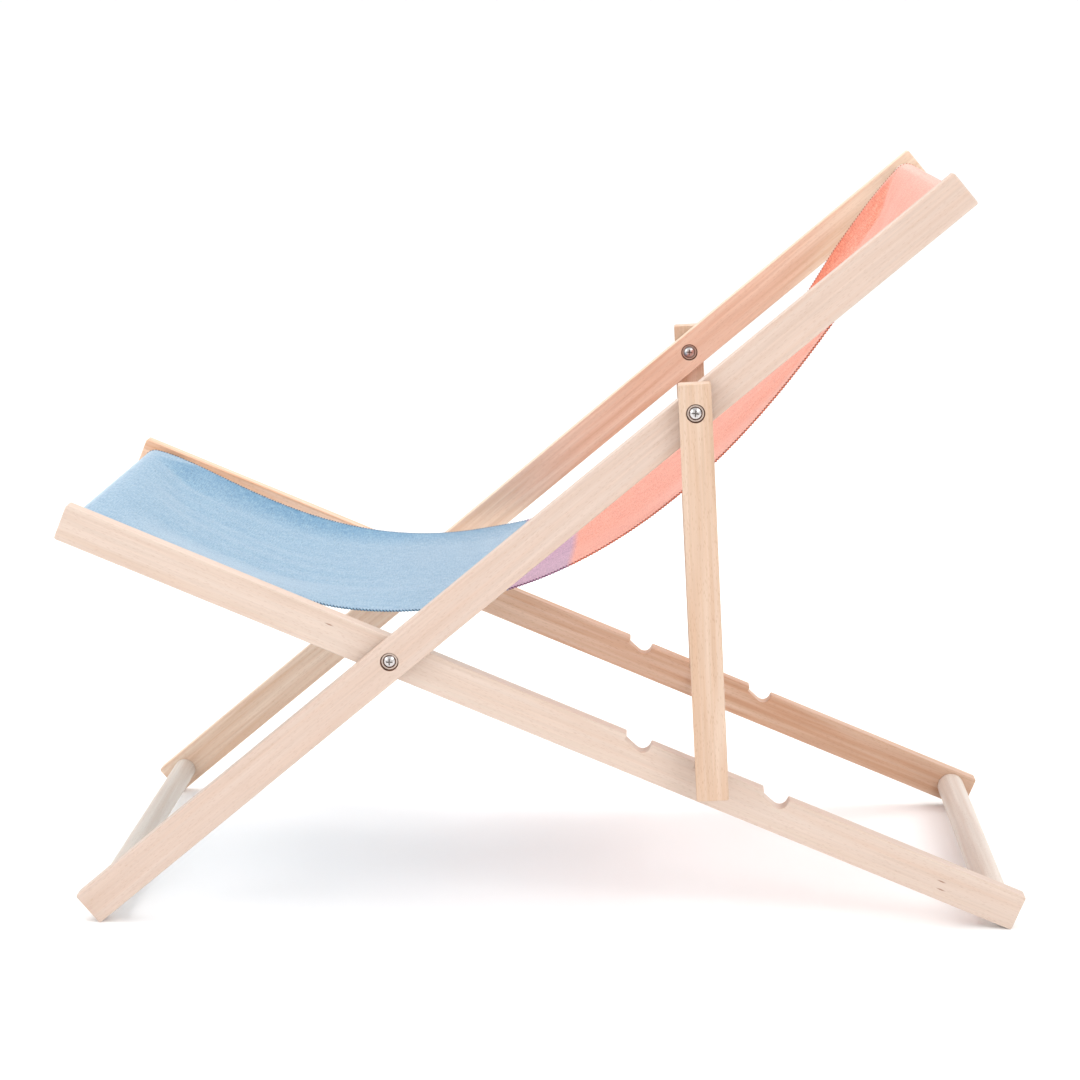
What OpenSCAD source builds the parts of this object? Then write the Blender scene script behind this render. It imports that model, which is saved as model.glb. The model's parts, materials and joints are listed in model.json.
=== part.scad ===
// Folding deck chair: three nested timber frames on two pairs of pivots, with a hanging canvas sling.
// X runs from the seat front to the rear, Y across the chair, Z up; the chair stands on Z = 0.

/* [Rails] */
// Width of the back and seat rails, seen from the side
rail_w = 43; // [40:0.5:50]
// Thickness of every rail and strut, across the chair
rail_t = 21; // [18:0.5:26]
// Corner rounding of the rail ends
end_r = 4; // [2:0.5:6]
// Back rail length from the cross pivot down to the foot
back_foot = 468.5; // [450:0.5:490]
// Back rail length from the cross pivot up to the head
back_head = 834; // [800:0.5:870]
// Lean of the back rails above the floor, in degrees
back_lean = 40.2; // [38:0.1:43]
// Seat rail length from the cross pivot to the seat front
seat_front = 409.5; // [390:0.5:420]
// Seat rail length from the cross pivot to the rear foot
seat_rear = 786; // [775:0.5:800]

/* [Across the chair] */
// Clear width between the two seat rails
seat_inner_w = 452; // [420:1:500]
// Gap between neighbouring rails, filled by spacer washers
layer_gap = 1.5; // [1.3:0.1:3]

/* [Prop frame] */
// Distance along the back rail from the cross pivot to the prop pivot
prop_at = 452; // [440:0.5:465]
// Width of the prop struts
strut_w = 37; // [32:0.5:43]
// Strut length beyond the prop pivot
strut_over = 33; // [28:0.5:40]
// Strut length beyond the prop bar
strut_under = 22; // [18:0.5:28]
// Diameter of the prop bar
prop_bar_d = 20; // [18:0.5:21]
// Height of the hidden flats under the prop bar, above its centre
prop_flat = 4.4; // [4.2:0.1:6]

/* [Notches] */
// Rear wall of the middle notch, from the cross pivot
notch_at = 401.5; // [396:0.5:406]
// Distance from one notch to the next
notch_pitch = 86; // [80:0.5:92]
// Depth of a notch below the rail edge
notch_depth = 13.4; // [12:0.1:15]
// Length of a notch along the rail
notch_len = 30.5; // [28:0.5:34]
// Slope of the notch floor against the rail, in degrees
notch_slope = 20.3; // [16:0.1:24]
// Clearance between the notch round and the prop bar
notch_gap = 0.4; // [0.35:0.05:1]

/* [Round bars] */
// Distance of the two canvas bars from the end of their rails
sling_inset = 23; // [20:0.5:26]
// Distance of the two floor bars from the end of their rails
floor_inset = 28; // [24:0.5:30]
// Diameter of the two bars that carry the canvas
sling_bar_d = 28; // [24:0.5:30]
// Diameter of the bar between the front feet
front_floor_d = 28.5; // [24:0.5:32]
// Diameter of the bar between the rear feet
rear_floor_d = 34.5; // [28:0.5:36]
// Depth of the blind sockets that hold the bar ends
socket_deep = 12; // [8:0.5:15]

/* [Canvas] */
// Width of the canvas
canvas_w = 436; // [400:1:444]
// Thickness of the canvas panels
canvas_t = 1.6; // [1.2:0.1:2.4]
// Slope of the canvas where it leaves the front bar, in degrees
canvas_front_slope = 23.6; // [20:0.1:28]
// Pull of the front slope on the curve
canvas_front_pull = 443; // [400:1:500]
// Slope of the canvas where it reaches the top bar, in degrees
canvas_head_slope = 55.2; // [52:0.1:58]
// Pull of the head slope on the curve
canvas_head_pull = 677; // [620:1:720]
// Share of the canvas curve that rides with the seat frame
canvas_split = 0.386; // [0.36:0.001:0.4]
// Clear seam between the seat panel and the back panel
canvas_seam = 8; // [7:0.5:14]

/* [Pivots] */
// Diameter of the bolt shanks
bolt_d = 8; // [6:0.5:9]
// Outer diameter of the sleeve of each cap nut
sleeve_d = 10; // [9.6:0.2:12]
// Diameter of the domed heads
head_d = 15.4; // [13:0.2:17]
// Height of the domed heads
head_h = 3.4; // [2.8:0.1:3.4]
// Diameter of the washers
washer_d = 18.5; // [17:0.5:20]
// Thickness of the washers
washer_t = 1.2; // [0.8:0.1:1.2]
// Diameter of the recesses that take the heads and washers
recess_d = 21; // [20.5:0.5:24]
// Depth of the recesses that take the heads and washers
recess_deep = 4.2; // [4.2:0.1:5]

/* [Hidden] */
beech = [0.91, 0.79, 0.68];
steel = [0.72, 0.73, 0.74];
blue = [0.56, 0.73, 0.87];
coral = [0.96, 0.56, 0.47];
// clearances: running fits turn, slip fits stay still
run_fit = 0.08;
slip_fit = 0.05;
body_gap = 0.3;
end_gap = 0.2;
// how far a cut runs past the face it opens, and how far joined solids overlap
cut_over = 1;
overlap = 0.2;
// cross recess in the heads, sleeves let into the back rails, bolts that stop short of the nut's face
slot_len = 6.8;
slot_w = 1.6;
slot_deep = 1.4;
sleeve_deep = 14;
bolt_short = 4;
// room beside the rails in the prop bar's flats, and the canvas drawn into its loops
flat_over = 1.5;
canvas_fit = 0.1;
canvas_lap = 2;
round_steps = 64;
// faces of the three layers, measured from the middle of the chair
seat_in = seat_inner_w / 2;
seat_out = seat_in + rail_t;
back_in = seat_out + layer_gap;
back_out = back_in + rail_t;
strut_in = back_out + layer_gap;
strut_out = strut_in + rail_t;
// height of the cross pivot that puts the rounded back feet on the floor
half_w = rail_w / 2;
pivot_z = (back_foot - end_r) * sin(back_lean) + (half_w - end_r) * cos(back_lean) + end_r;
// slope of the seat rails that puts the rounded rear feet on the floor
seat_a = seat_rear - end_r;
seat_b = half_w - end_r;
seat_slope = asin((pivot_z - end_r) / sqrt(seat_a * seat_a + seat_b * seat_b)) - atan2(seat_b, seat_a);
// the middle of the chair's length stands over the origin
x_front = -(seat_front - end_r) * cos(seat_slope) - seat_b * sin(seat_slope) - end_r;
x_rear = seat_a * cos(seat_slope) + seat_b * sin(seat_slope) + end_r;
pivot_x = -(x_front + x_rear) / 2;
// prop pivot and prop bar, measured from the cross pivot as [x, z]
notch_r = prop_bar_d / 2 + notch_gap;
prop_p = [prop_at * cos(back_lean), prop_at * sin(back_lean)];
bar_s = notch_at - notch_r;
bar_h = half_w - notch_depth + notch_r;
bar_p = [bar_s * cos(seat_slope) + bar_h * sin(seat_slope),
  -bar_s * sin(seat_slope) + bar_h * cos(seat_slope)];
prop_v = bar_p - prop_p;
prop_len = norm(prop_v);
prop_turn = atan2(prop_v[1], prop_v[0]);
// bars that carry the canvas, measured from the cross pivot as [x, z]
front_s = seat_front - sling_inset;
head_s = back_head - sling_inset;
front_p = [-front_s * cos(seat_slope), front_s * sin(seat_slope)];
head_p = [head_s * cos(back_lean), head_s * sin(back_lean)];
// canvas curve: it leaves one bar, hangs, and meets the other bar
loop_in = sling_bar_d / 2 + canvas_fit;
loop_out = loop_in + canvas_t;
loop_mid = (loop_in + loop_out) / 2;
front_dir = [cos(canvas_front_slope), -sin(canvas_front_slope)];
head_dir = [cos(canvas_head_slope), sin(canvas_head_slope)];
c0 = front_p + loop_mid * [-front_dir[1], front_dir[0]];
c3 = head_p + loop_mid * [-head_dir[1], head_dir[0]];
c1 = c0 + canvas_front_pull * front_dir;
c2 = c3 - canvas_head_pull * head_dir;
function canvas_point(t) =
  pow(1 - t, 3) * c0 + 3 * pow(1 - t, 2) * t * c1 + 3 * (1 - t) * t * t * c2 + pow(t, 3) * c3;
function canvas_slope(t) =
  3 * pow(1 - t, 2) * (c1 - c0) + 6 * (1 - t) * t * (c2 - c1) + 3 * t * t * (c3 - c2);
function unit(v) = v / norm(v);
function across(v) = [-v[1], v[0]];
function canvas_side(t, d) = canvas_point(t) + d * across(unit(canvas_slope(t)));
seam_t = canvas_split + canvas_seam / norm(canvas_slope(canvas_split));
panel_steps = 30;

module at_pivot() {
  translate([pivot_x, 0, pivot_z]) children();
}

module back_place() {
  at_pivot() rotate([0, -back_lean, 0]) children();
}

module seat_place() {
  at_pivot() rotate([0, seat_slope, 0]) children();
}

module prop_place() {
  at_pivot() translate([prop_p[0], 0, prop_p[1]]) rotate([0, -prop_turn, 0]) children();
}

module other_side() {
  mirror([0, 1, 0]) children();
}

// round solid along Y, from y0 to y1
module rod(d, y0, y1) {
  translate([0, y0, 0]) rotate([-90, 0, 0]) cylinder(d = d, h = y1 - y0, $fn = round_steps);
}

// flat rail with rounded ends, from s0 to s1 along X and y0 to y1 across
module rail(s0, s1, w, y0, y1) {
  translate([s0 + end_r, y0, -w / 2]) cube([s1 - s0 - 2 * end_r, y1 - y0, w]);
  translate([s0, y0, -w / 2 + end_r]) cube([s1 - s0, y1 - y0, w - 2 * end_r]);
  for (s = [s0 + end_r, s1 - end_r])
    for (h = [-w / 2 + end_r, w / 2 - end_r])
      translate([s, 0, h]) rod(2 * end_r, y0, y1);
}

// one notch, its rear wall at s = 0 and the rail edge at h = 0
module notch() {
  round_h = notch_r - notch_depth;
  touch = [-notch_r - notch_r * sin(notch_slope), round_h - notch_r * cos(notch_slope)];
  lip_h = touch[1] + (notch_len + touch[0]) * tan(notch_slope);
  translate([-notch_r, 0, round_h]) rod(2 * notch_r, -seat_out - cut_over, -seat_in + cut_over);
  translate([0, -seat_in + cut_over, 0]) rotate([90, 0, 0]) linear_extrude(height = rail_t + 2 * cut_over)
    polygon([[0, cut_over], [0, round_h], [-notch_r, round_h], touch, [-notch_len, lip_h],
      [-notch_len, cut_over]]);
}

// washer lying across Y between y0 and y1
module washer(bore, y0, y1) {
  difference() {
    rod(washer_d, y0, y1);
    rod(bore, y0 - cut_over, y1 + cut_over);
  }
}

// domed head with a cross recess, its flat face at y = 0 and its dome towards -Y
module dome() {
  ball = (head_d * head_d / 4 + head_h * head_h) / (2 * head_h);
  difference() {
    intersection() {
      translate([0, ball - head_h, 0]) rotate([90, 0, 0]) sphere(r = ball, $fn = round_steps);
      rod(head_d, -head_h - cut_over, 0);
    }
    for (turn = [0, 90]) rotate([0, turn, 0])
      translate([-slot_len / 2, -head_h - cut_over, -slot_w / 2])
        cube([slot_len, slot_deep + cut_over, slot_w]);
  }
}

module back_rail_left() {
  color(beech) back_place() difference() {
    rail(-back_foot, back_head, rail_w, -back_out, -back_in);
    rod(bolt_d + 2 * slip_fit, -back_out - cut_over, -back_in + cut_over);
    rod(recess_d, -back_out - cut_over, -back_out + recess_deep);
    translate([prop_at, 0, 0]) {
      rod(sleeve_d + 2 * slip_fit, -back_in - sleeve_deep, -back_in + cut_over);
      rod(bolt_d + 2 * slip_fit, -back_out - cut_over, -back_in + cut_over);
      rod(recess_d, -back_in - recess_deep, -back_in + cut_over);
    }
    translate([head_s, 0, 0]) rod(sling_bar_d + 2 * slip_fit, -back_in - socket_deep, -back_in + cut_over);
    translate([floor_inset - back_foot, 0, 0])
      rod(front_floor_d + 2 * slip_fit, -back_in - socket_deep, -back_in + cut_over);
  }
}

module back_rail_right() {
  other_side() back_rail_left();
}

module top_bar() {
  reach = back_in + socket_deep - end_gap;
  color(beech) back_place() translate([head_s, 0, 0]) rod(sling_bar_d, -reach, reach);
}

module front_floor_bar() {
  reach = back_in + socket_deep - end_gap;
  color(beech) back_place() translate([floor_inset - back_foot, 0, 0]) rod(front_floor_d, -reach, reach);
}

module seat_rail_left() {
  color(beech) seat_place() difference() {
    rail(-seat_front, seat_rear, rail_w, -seat_out, -seat_in);
    for (i = [-1, 0, 1]) translate([notch_at + i * notch_pitch, 0, half_w]) notch();
    rod(sleeve_d + 2 * run_fit, -seat_out - cut_over, -seat_in + cut_over);
    rod(recess_d, -seat_in - recess_deep, -seat_in + cut_over);
    translate([-front_s, 0, 0]) rod(sling_bar_d + 2 * slip_fit, -seat_in - socket_deep, -seat_in + cut_over);
    translate([seat_rear - floor_inset, 0, 0])
      rod(rear_floor_d + 2 * slip_fit, -seat_in - socket_deep, -seat_in + cut_over);
  }
}

module seat_rail_right() {
  other_side() seat_rail_left();
}

module front_bar() {
  reach = seat_in + socket_deep - end_gap;
  color(beech) seat_place() translate([-front_s, 0, 0]) rod(sling_bar_d, -reach, reach);
}

module rear_floor_bar() {
  reach = seat_in + socket_deep - end_gap;
  color(beech) seat_place() translate([seat_rear - floor_inset, 0, 0]) rod(rear_floor_d, -reach, reach);
}

module prop_strut_left() {
  color(beech) prop_place() difference() {
    rail(-strut_over, prop_len + strut_under, strut_w, -strut_out, -strut_in);
    rod(bolt_d + 2 * run_fit, -strut_out - cut_over, -strut_in + cut_over);
    rod(recess_d, -strut_out - cut_over, -strut_out + recess_deep);
    translate([prop_len, 0, 0]) rod(prop_bar_d + 2 * slip_fit, -strut_in - socket_deep, -strut_in + cut_over);
  }
}

module prop_strut_right() {
  other_side() prop_strut_left();
}

// the bar rests in the middle notches; flats under it let it slide over the rail edges
module prop_bar() {
  reach = strut_in + socket_deep - end_gap;
  color(beech) at_pivot() translate([bar_p[0], 0, bar_p[1]]) difference() {
    rod(prop_bar_d, -reach, reach);
    for (side = [-1, 1])
      rotate([0, seat_slope, 0]) translate([0, side * (seat_in + seat_out) / 2, prop_flat - prop_bar_d])
        cube([2 * prop_bar_d, rail_t + 2 * flat_over, 2 * prop_bar_d], center = true);
  }
}

// canvas strip between two points of the hanging curve
module canvas_strip(t0, t1, lead0, lead1) {
  far = [for (i = [0:panel_steps]) canvas_side(t0 + (t1 - t0) * i / panel_steps, canvas_t / 2)];
  near = [for (i = [panel_steps:-1:0]) canvas_side(t0 + (t1 - t0) * i / panel_steps, -canvas_t / 2)];
  start = [-lead0 * front_dir + near[panel_steps], -lead0 * front_dir + far[0]];
  finish = [lead1 * head_dir + far[panel_steps], lead1 * head_dir + near[0]];
  polygon(concat(lead0 > 0 ? start : [], far, lead1 > 0 ? finish : [], near));
}

module canvas_loop(p) {
  at_pivot() translate([p[0], 0, p[1]]) difference() {
    rod(2 * loop_out, -canvas_w / 2, canvas_w / 2);
    rod(2 * loop_in, -canvas_w / 2 - cut_over, canvas_w / 2 + cut_over);
  }
}

module sling_seat() {
  color(blue) {
    canvas_loop(front_p);
    at_pivot() rotate([90, 0, 0]) linear_extrude(height = canvas_w, center = true)
      canvas_strip(0, canvas_split, canvas_lap, 0);
  }
}

module sling_back() {
  color(coral) {
    canvas_loop(head_p);
    at_pivot() rotate([90, 0, 0]) linear_extrude(height = canvas_w, center = true)
      canvas_strip(seam_t, 1, 0, canvas_lap);
  }
}

// cross pivot: bolt head in the back rail, cap nut in the seat rail
module pivot_bolt_left() {
  head_y = -back_out + recess_deep - washer_t;
  color(steel) at_pivot() {
    translate([0, head_y, 0]) dome();
    rod(bolt_d, head_y - overlap, -seat_in - bolt_short);
  }
}

module pivot_bolt_right() {
  other_side() pivot_bolt_left();
}

module pivot_nut_left() {
  nut_y = -seat_in - recess_deep + body_gap + washer_t;
  color(steel) at_pivot() difference() {
    union() {
      translate([0, nut_y, 0]) other_side() dome();
      rod(sleeve_d, -seat_out - end_gap, nut_y + overlap);
    }
    rod(bolt_d + 2 * slip_fit, -seat_out - cut_over, -seat_in - bolt_short + end_gap);
  }
}

module pivot_nut_right() {
  other_side() pivot_nut_left();
}

module both_sides() {
  children();
  other_side() children();
}

module pivot_head_washers() {
  head_y = -back_out + recess_deep;
  color(steel) at_pivot() both_sides() washer(bolt_d + 2 * slip_fit, head_y - washer_t, head_y);
}

module pivot_spacers() {
  color(steel) at_pivot() both_sides()
    washer(bolt_d + 2 * slip_fit, -back_in, -seat_out - body_gap);
}

module pivot_nut_washers() {
  nut_y = -seat_in - recess_deep + body_gap;
  color(steel) at_pivot() both_sides() washer(sleeve_d + 2 * slip_fit, nut_y, nut_y + washer_t);
}

// prop pivot: bolt head in the strut, cap nut in the back rail
module prop_bolt_left() {
  head_y = -strut_out + recess_deep - body_gap - washer_t;
  color(steel) back_place() translate([prop_at, 0, 0]) {
    translate([0, head_y, 0]) dome();
    rod(bolt_d, head_y - overlap, -back_in - bolt_short);
  }
}

module prop_bolt_right() {
  other_side() prop_bolt_left();
}

module prop_nut_left() {
  nut_y = -back_in - recess_deep + washer_t;
  color(steel) back_place() translate([prop_at, 0, 0]) difference() {
    union() {
      translate([0, nut_y, 0]) other_side() dome();
      rod(sleeve_d, -back_in - sleeve_deep + end_gap, nut_y + overlap);
    }
    rod(bolt_d + 2 * slip_fit, -back_out, -back_in - bolt_short + end_gap);
  }
}

module prop_nut_right() {
  other_side() prop_nut_left();
}

module prop_head_washers() {
  head_y = -strut_out + recess_deep - body_gap;
  color(steel) back_place() translate([prop_at, 0, 0]) both_sides()
    washer(bolt_d + 2 * slip_fit, head_y - washer_t, head_y);
}

module prop_spacers() {
  color(steel) back_place() translate([prop_at, 0, 0]) both_sides()
    washer(bolt_d + 2 * slip_fit, -strut_in + body_gap, -back_out);
}

module prop_nut_washers() {
  nut_y = -back_in - recess_deep;
  color(steel) back_place() translate([prop_at, 0, 0]) both_sides()
    washer(sleeve_d + 2 * slip_fit, nut_y, nut_y + washer_t);
}

back_rail_left();
back_rail_right();
top_bar();
front_floor_bar();
sling_back();
seat_rail_left();
seat_rail_right();
front_bar();
rear_floor_bar();
sling_seat();
prop_strut_left();
prop_strut_right();
prop_bar();
pivot_bolt_left();
pivot_bolt_right();
pivot_nut_left();
pivot_nut_right();
pivot_head_washers();
pivot_spacers();
pivot_nut_washers();
prop_bolt_left();
prop_bolt_right();
prop_nut_left();
prop_nut_right();
prop_head_washers();
prop_spacers();
prop_nut_washers();
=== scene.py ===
import json
import math
import bpy
import bmesh
from mathutils import Matrix, Vector


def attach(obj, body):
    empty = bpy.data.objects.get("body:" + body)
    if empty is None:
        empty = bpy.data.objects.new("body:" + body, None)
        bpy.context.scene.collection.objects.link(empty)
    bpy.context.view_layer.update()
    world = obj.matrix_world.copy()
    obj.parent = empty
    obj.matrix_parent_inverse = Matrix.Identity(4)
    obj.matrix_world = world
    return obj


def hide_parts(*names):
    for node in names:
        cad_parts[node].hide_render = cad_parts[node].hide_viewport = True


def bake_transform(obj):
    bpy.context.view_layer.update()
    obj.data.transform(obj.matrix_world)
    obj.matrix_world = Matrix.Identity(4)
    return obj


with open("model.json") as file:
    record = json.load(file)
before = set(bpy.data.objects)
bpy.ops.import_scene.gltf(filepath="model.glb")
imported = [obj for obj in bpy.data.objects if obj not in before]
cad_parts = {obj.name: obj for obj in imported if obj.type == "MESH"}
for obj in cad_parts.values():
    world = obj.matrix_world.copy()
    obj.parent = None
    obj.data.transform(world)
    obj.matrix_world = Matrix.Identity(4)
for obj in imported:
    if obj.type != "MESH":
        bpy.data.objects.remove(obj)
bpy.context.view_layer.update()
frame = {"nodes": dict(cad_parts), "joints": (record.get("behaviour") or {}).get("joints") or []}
nodes = frame["nodes"]
mm = 0.001
print("frame loaded:", len(nodes), "parts")

# main sizes of the chair, in millimetres and degrees, as the part's source has them;
# cornerRound is the crisper round of the drawn rail ends, and the steps say how finely rounds are drawn
chair = {
    "railWidth": 43.0, "railThick": 21.0, "endRound": 4.0, "cornerRound": 2.8,
    "cornerSteps": 6, "arrisSteps": 3,
    "backFoot": 468.5, "backHead": 834.0, "backLean": 40.2,
    "seatFront": 409.5, "seatRear": 786.0, "seatIn": 226.0, "layerGap": 1.5, "slingInset": 23.0,
    "propAt": 452.0, "notchAt": 401.5, "notchPitch": 86.0, "notchDepth": 13.4, "notchRound": 10.4,
}
foldAt = Vector(frame["joints"][0]["pos_m"])  # cross pivot
propAt = Vector(frame["joints"][1]["pos_m"])  # prop pivot
lean = math.radians(chair["backLean"])
# the seat rails slope so that their rounded rear feet stand on the floor
footLong = chair["seatRear"] - chair["endRound"]
footHigh = chair["railWidth"] / 2 - chair["endRound"]
footDrop = foldAt.z / mm - chair["endRound"]
slope = math.asin(footDrop / math.hypot(footLong, footHigh)) - math.atan2(footHigh, footLong)
placeBack = Matrix.Translation(foldAt) @ Matrix.Rotation(-lean, 4, "Y")
placeSeat = Matrix.Translation(foldAt) @ Matrix.Rotation(slope, 4, "Y")
barSpot = placeSeat @ Vector((
    (chair["notchAt"] - chair["notchRound"]) * mm, 0,
    (chair["railWidth"] / 2 - chair["notchDepth"] + chair["notchRound"]) * mm))
propLine = barSpot - propAt
propTurn = math.atan2(propLine.z, propLine.x)
placeProp = Matrix.Translation(propAt) @ Matrix.Rotation(-propTurn, 4, "Y")
seatOut = chair["seatIn"] + chair["railThick"]
backIn = seatOut + chair["layerGap"]
backOut = backIn + chair["railThick"]
strutIn = backOut + chair["layerGap"]
strutOut = strutIn + chair["railThick"]
crispFrom = math.radians(42)  # edges that turn more than this stay crisp


def linear(hexColour):  # sRGB hex to linear colour
    parts = [int(hexColour[i:i + 2], 16) / 255 for i in (1, 3, 5)]
    return tuple(p / 12.92 if p <= 0.04045 else ((p + 0.055) / 1.055) ** 2.4 for p in parts) + (1.0,)


def addNode(tree, kind, settings=None, **links):  # one node, its settings and its incoming links
    node = tree.nodes.new(kind)
    for name, value in (settings or {}).items():
        if hasattr(node, name):
            setattr(node, name, value)
        else:
            node.inputs[name].default_value = value
    for name, source in links.items():  # i0, i1 and so on give a socket by its number
        byNumber = name[0] == "i" and name[1:].isdigit()
        tree.links.new(source, node.inputs[int(name[1:]) if byNumber else name.replace("_", " ")])
    return node


def newMaterial(name):
    material = bpy.data.materials.new(name)
    material.use_nodes = True
    tree = material.node_tree
    return material, tree, tree.nodes["Principled BSDF"]


def setRamp(node, stops):  # colour stops of a ramp, as (place, hex)
    while len(node.color_ramp.elements) < len(stops):
        node.color_ramp.elements.new(0.5)
    for element, (place, hexColour) in zip(node.color_ramp.elements, stops):
        element.position = place
        element.color = linear(hexColour)
    return node


# oiled beech: pale pinkish timber, straight soft figure along the length, short darker flecks, satin sheen;
# lengths in metres, the streaks and flecks drawn coarser than life so that they show at this distance, and
# the span over which a rail's front end may be painted lighter, as painted light
beechLook = {"figureLong": 0.26, "figureWide": 0.009, "streakLong": 0.11, "streakWide": 0.0022,
             "fleckLong": 0.009, "fleckWide": 0.0014, "fleckDepth": 0.34, "knot": (0.0055, 0.004, 0.0009),
             "knotTone": "#7E4F35", "paintedLightFrom": -0.45, "paintedLightTo": 0.5, "roughness": 0.46}


# turn lays the grain along the piece, cut picks the board, the front factor lightens a rail's front end as
# painted light, knots are pin knots
def beech(name, turn, cut, light, dark, fleck, frontPaintedLight=1.0, knots=()):
    material, tree, shader = newMaterial(name)
    coords = addNode(tree, "ShaderNodeTexCoord")
    board = addNode(tree, "ShaderNodeMapping", {"Rotation": turn, "Location": cut},
                    Vector=coords.outputs["Object"])

    def stretched(along, across):
        return addNode(tree, "ShaderNodeMapping", {"Scale": (1 / along, 1 / across, 1 / across)},
                       Vector=board.outputs["Vector"]).outputs["Vector"]

    figure = addNode(tree, "ShaderNodeTexNoise",
                     {"Scale": 1.0, "Detail": 3.0, "Roughness": 0.55, "Distortion": 0.35},
                     Vector=stretched(beechLook["figureLong"], beechLook["figureWide"]))
    tone = setRamp(addNode(tree, "ShaderNodeValToRGB", Fac=figure.outputs["Fac"]),
                   [(0.34, light), (0.68, dark)])
    streak = addNode(tree, "ShaderNodeTexNoise", {"Scale": 1.0, "Detail": 2.0, "Roughness": 0.6},
                     Vector=stretched(beechLook["streakLong"], beechLook["streakWide"]))
    streakRange = addNode(tree, "ShaderNodeMapRange",
                          {"From Min": 0.3, "From Max": 0.7, "To Min": 0.93, "To Max": 1.03},
                          Value=streak.outputs["Fac"])
    # painted light: the front factor lightens the timber towards a rail's front end (1 leaves it unchanged)
    fromFront = addNode(tree, "ShaderNodeSeparateXYZ", Vector=coords.outputs["Object"])
    paintedLighting = addNode(tree, "ShaderNodeMapRange",
                     {"From Min": beechLook["paintedLightFrom"], "From Max": beechLook["paintedLightTo"],
                      "To Min": frontPaintedLight, "To Max": 1.0}, Value=fromFront.outputs["X"])
    streakAndPaintedLight = addNode(tree, "ShaderNodeMath", {"operation": "MULTIPLY"},
                       i0=streakRange.outputs["Result"], i1=paintedLighting.outputs["Result"])
    streaked = addNode(tree, "ShaderNodeVectorMath", {"operation": "SCALE"},
                       Vector=tone.outputs["Color"], Scale=streakAndPaintedLight.outputs["Value"])
    flecks = addNode(tree, "ShaderNodeTexVoronoi", {"Scale": 1.0, "Randomness": 1.0},
                     Vector=stretched(beechLook["fleckLong"], beechLook["fleckWide"]))
    fleckMask = addNode(tree, "ShaderNodeMapRange",
                        {"From Min": 0.14, "From Max": 0.3, "To Min": beechLook["fleckDepth"], "To Max": 0.0},
                        Value=flecks.outputs["Distance"])
    timber = addNode(tree, "ShaderNodeMix", {"data_type": "RGBA"}, i0=fleckMask.outputs["Result"],
                     i6=streaked.outputs["Vector"])
    timber.inputs[7].default_value = linear(fleck)
    for knotAt in knots:
        away = addNode(tree, "ShaderNodeVectorMath", {"operation": "SUBTRACT"}, i0=coords.outputs["Object"])
        away.inputs[1].default_value = knotAt
        level = addNode(tree, "ShaderNodeMapping", {"Rotation": turn}, Vector=away.outputs["Vector"])
        sized = addNode(tree, "ShaderNodeMapping", {"Scale": tuple(1 / k for k in beechLook["knot"])},
                        Vector=level.outputs["Vector"])
        reach = addNode(tree, "ShaderNodeVectorMath", {"operation": "LENGTH"}, i0=sized.outputs["Vector"])
        knotMask = addNode(tree, "ShaderNodeMapRange",
                           {"From Min": 0.3, "From Max": 1.2, "To Min": 0.8, "To Max": 0.0},
                           Value=reach.outputs["Value"])
        timber = addNode(tree, "ShaderNodeMix", {"data_type": "RGBA"}, i0=knotMask.outputs["Result"],
                         i6=timber.outputs[2])
        timber.inputs[7].default_value = linear(beechLook["knotTone"])
    sheen = addNode(tree, "ShaderNodeMapRange",
                    {"From Min": 0.3, "From Max": 0.7, "To Min": beechLook["roughness"] - 0.06,
                     "To Max": beechLook["roughness"] + 0.1}, Value=streak.outputs["Fac"])
    relief = addNode(tree, "ShaderNodeBump", {"Strength": 0.22, "Distance": 0.0003},
                     Height=streak.outputs["Fac"])
    tree.links.new(timber.outputs[2], shader.inputs["Base Color"])
    tree.links.new(sheen.outputs["Result"], shader.inputs["Roughness"])
    tree.links.new(relief.outputs["Normal"], shader.inputs["Normal"])
    shader.inputs["IOR"].default_value = 1.5
    shader.inputs["Specular IOR Level"].default_value = 0.35
    return material


def alongBack(cut, light="#CBB7AA", dark="#C6AD9D", fleck="#A9856F"):
    return (0, lean, 0), cut, light, dark, fleck


def alongSeat(cut, light="#CEBCAF", dark="#C9B2A2", fleck="#A98671", frontPaintedLight=1.0, knots=()):
    return (0, -slope, 0), cut, light, dark, fleck, frontPaintedLight, knots


def alongProp(cut, light="#CFB6A2", dark="#C4A48B", fleck="#997256"):
    return (0, propTurn, 0), cut, light, dark, fleck


def acrossChair(cut, light="#D4CBC1", dark="#C9B9AC", fleck="#B09480"):
    return (0, 0, -math.pi / 2), cut, light, dark, fleck


def finishPiece(name, bm, material, body, stands):  # mesh and object, smooth sides, crisp arrises
    mesh = bpy.data.meshes.new(name)
    bm.normal_update()
    bm.to_mesh(mesh)
    bm.free()
    mesh.shade_smooth()
    mesh.set_sharp_from_angle(angle=crispFrom)
    piece = bpy.data.objects.new(name, mesh)
    bpy.context.scene.collection.objects.link(piece)
    mesh.materials.append(material)
    if body:
        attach(piece, body)
    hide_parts(*stands)
    return piece


def edgesAlongY(bm, s, h):  # the edges that run across the chair at one corner of a rail
    def near(v):
        return abs(v.co.x - s * mm) < 1e-5 and abs(v.co.z - h * mm) < 1e-5
    return [e for e in bm.edges if near(e.verts[0]) and near(e.verts[1])]


# a round recess for a bolt head or a nut in the flat of a rail, in millimetres; apart keeps the loops clear
# of each other while they are bridged
recessCut = {"halfCell": 13.5, "rimCuts": 11, "sides": 48, "mouthRound": 0.5, "mouthSteps": 2, "apart": 20.0}


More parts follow.
